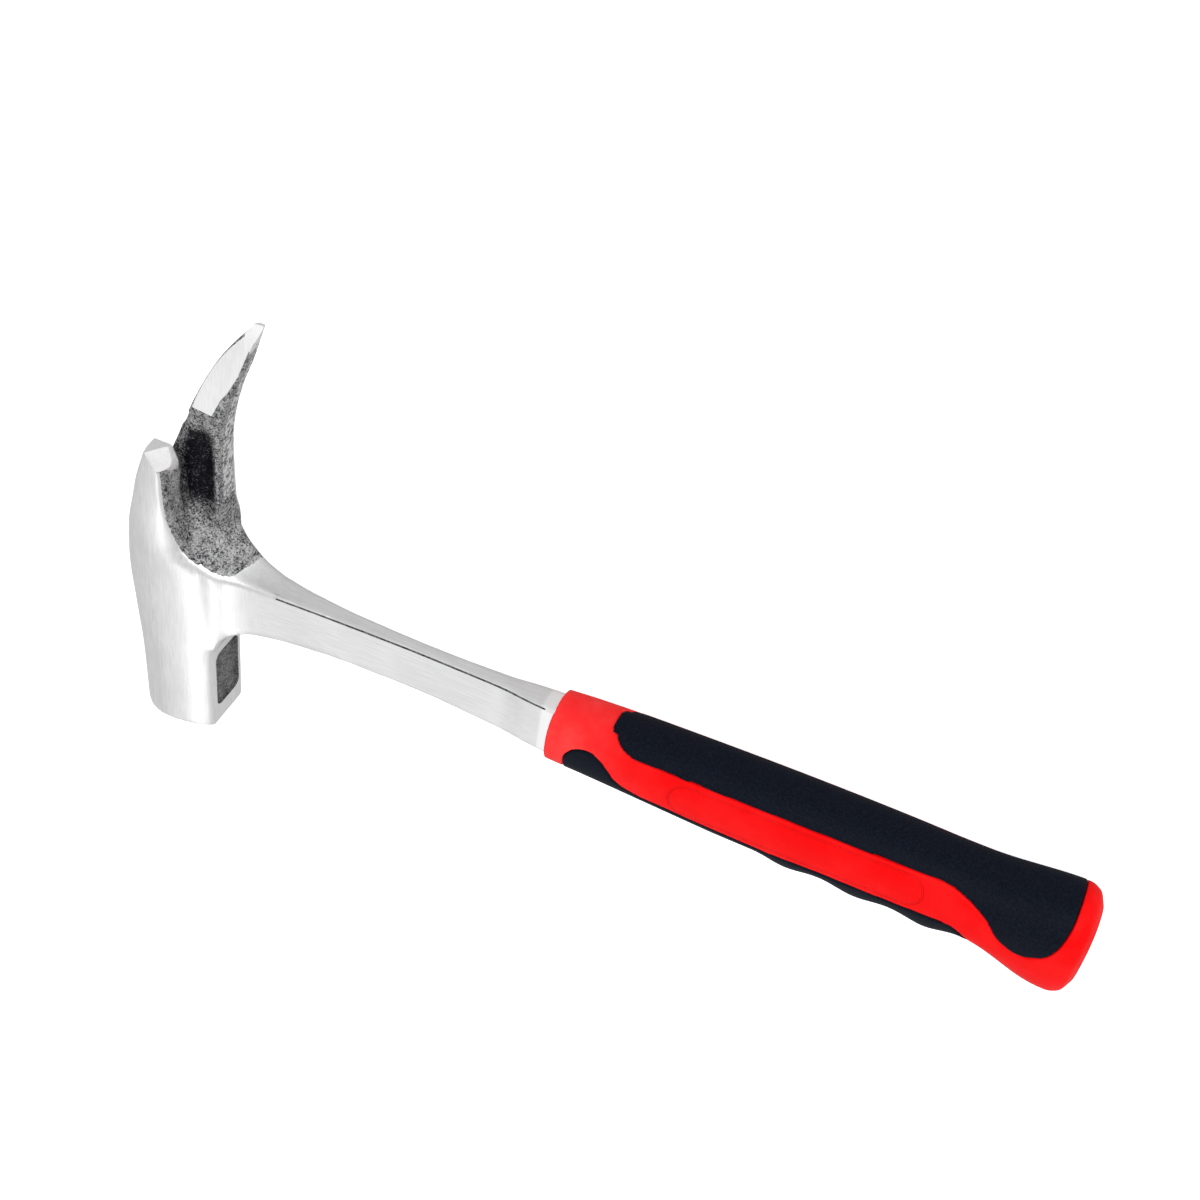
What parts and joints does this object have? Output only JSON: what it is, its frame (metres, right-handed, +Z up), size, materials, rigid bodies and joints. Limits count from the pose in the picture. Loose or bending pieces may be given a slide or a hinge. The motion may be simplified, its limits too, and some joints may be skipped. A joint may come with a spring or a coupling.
{
  "type": "hammer",
  "caption": "All-steel roofing hammer: crowned striker, long pick beside a short prong with a nail slot, slim neck and a red and black moulded grip, lying on its side.",
  "frame": {"origin": "under the middle of the hammer's box, on the surface it lies on", "axes": "+X along the handle from the head to the butt, +Y along the head from the striking face to the pick's tip, +Z up, across the thickness"},
  "size_m": [0.3349, 0.173, 0.0286],
  "materials": {
    "steel": "ground and satin, with forge scale left in the hollow of the claw and in the recess",
    "red_plastic": "fine matte moulding",
    "black_rubber": "soft matte moulding"
  },
  "bodies": {
    "root": {"forging": "steel", "grip_body": "red_plastic", "back_panel": "black_rubber", "finger_panel": "black_rubber"}
  },
  "joints": []
}
